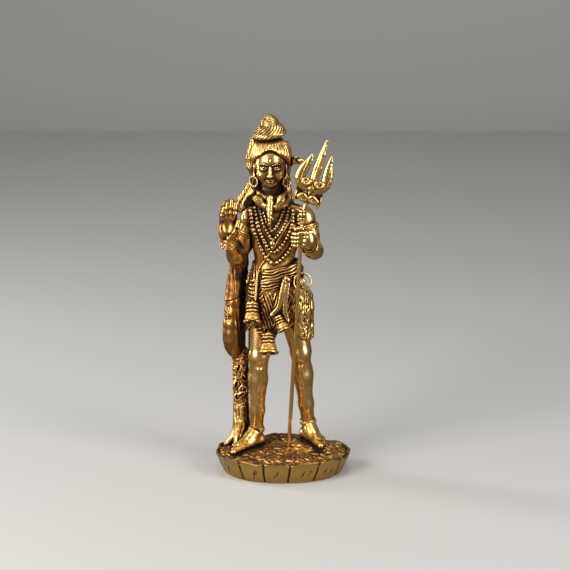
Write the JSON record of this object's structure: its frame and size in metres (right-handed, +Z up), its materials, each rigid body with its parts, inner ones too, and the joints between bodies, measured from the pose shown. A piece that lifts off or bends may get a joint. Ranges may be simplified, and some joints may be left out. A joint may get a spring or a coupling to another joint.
{
  "type": "standing shiva statue",
  "caption": "Cast brass figure of Shiva standing on an oval rocky base, a hand raised, a loose trident in the other.",
  "frame": {"origin": "centre of the base's flat underside", "axes": "+Z up along the figure, the figure faces -Y, its own left hand with the trident is on the +X side"},
  "size_m": [0.073, 0.059, 0.2006],
  "materials": {
    "base": "polished with a dark antique patina",
    "centre_bell": "polished with a dark antique patina",
    "damaru": "polished with a dark antique patina",
    "drum_cord": "polished with a dark antique patina",
    "hair_cap": "polished with a dark antique patina",
    "hair_coil": "polished with a dark antique patina",
    "hair_fall": "polished with a dark antique patina",
    "hair_knot": "polished with a dark antique patina",
    "head": "polished with a dark antique patina",
    "hip_snake": "polished with a dark antique patina",
    "inner_necklace": "polished with a dark antique patina",
    "left_anklet": "polished with a dark antique patina",
    "left_arm": "polished with a dark antique patina",
    "left_armlet": "polished with a dark antique patina",
    "left_bell": "polished with a dark antique patina",
    "left_bracelet": "polished with a dark antique patina",
    "left_earring": "polished with a dark antique patina",
    "left_fist": "polished with a dark antique patina",
    "left_foot": "polished with a dark antique patina",
    "left_leg": "polished with a dark antique patina",
    "loincloth": "polished with a dark antique patina",
    "middle_necklace": "polished with a dark antique patina",
    "neck_cobra": "polished with a dark antique patina",
    "outer_necklace": "polished with a dark antique patina",
    "right_anklet": "polished with a dark antique patina",
    "right_arm": "polished with a dark antique patina",
    "right_armlet": "polished with a dark antique patina",
    "right_bell": "polished with a dark antique patina",
    "right_bracelet": "polished with a dark antique patina",
    "right_earring": "polished with a dark antique patina",
    "right_foot": "polished with a dark antique patina",
    "right_hand": "polished with a dark antique patina",
    "right_leg": "polished with a dark antique patina",
    "rock_ground": "polished with a dark antique patina",
    "sacred_thread": "polished with a dark antique patina",
    "sash_tails": "polished with a dark antique patina",
    "shawl": "polished with a dark antique patina",
    "thigh_pelt": "polished with a dark antique patina",
    "torso": "polished with a dark antique patina",
    "tree_stump": "polished with a dark antique patina",
    "trident_collar": "polished with a dark antique patina",
    "trident_head": "polished with a dark antique patina",
    "trident_shaft": "polished with a dark antique patina",
    "waist_sash": "polished with a dark antique patina"
  },
  "bodies": {
    "statue": {"base": "base", "centre_bell": "centre_bell", "hair_cap": "hair_cap", "hair_coil": "hair_coil", "hair_fall": "hair_fall", "hair_knot": "hair_knot", "head": "head", "hip_snake": "hip_snake", "inner_necklace": "inner_necklace", "left_anklet": "left_anklet", "left_arm": "left_arm", "left_armlet": "left_armlet", "left_bell": "left_bell", "left_bracelet": "left_bracelet", "left_earring": "left_earring", "left_fist": "left_fist", "left_foot": "left_foot", "left_leg": "left_leg", "loincloth": "loincloth", "middle_necklace": "middle_necklace", "neck_cobra": "neck_cobra", "outer_necklace": "outer_necklace", "right_anklet": "right_anklet", "right_arm": "right_arm", "right_armlet": "right_armlet", "right_bell": "right_bell", "right_bracelet": "right_bracelet", "right_earring": "right_earring", "right_foot": "right_foot", "right_hand": "right_hand", "right_leg": "right_leg", "rock_ground": "rock_ground", "sacred_thread": "sacred_thread", "sash_tails": "sash_tails", "shawl": "shawl", "thigh_pelt": "thigh_pelt", "torso": "torso", "tree_stump": "tree_stump", "waist_sash": "waist_sash"},
    "trident": {"trident_shaft": "trident_shaft", "trident_collar": "trident_collar", "trident_head": "trident_head", "damaru": "damaru", "drum_cord": "drum_cord"}
  },
  "joints": [
    {"name": "trident_lift", "type": "slide", "parent": "statue", "child": "trident", "axis": [0.0525, -0.1273, 0.9905], "range_m": [0, 0.122]}
  ]
}
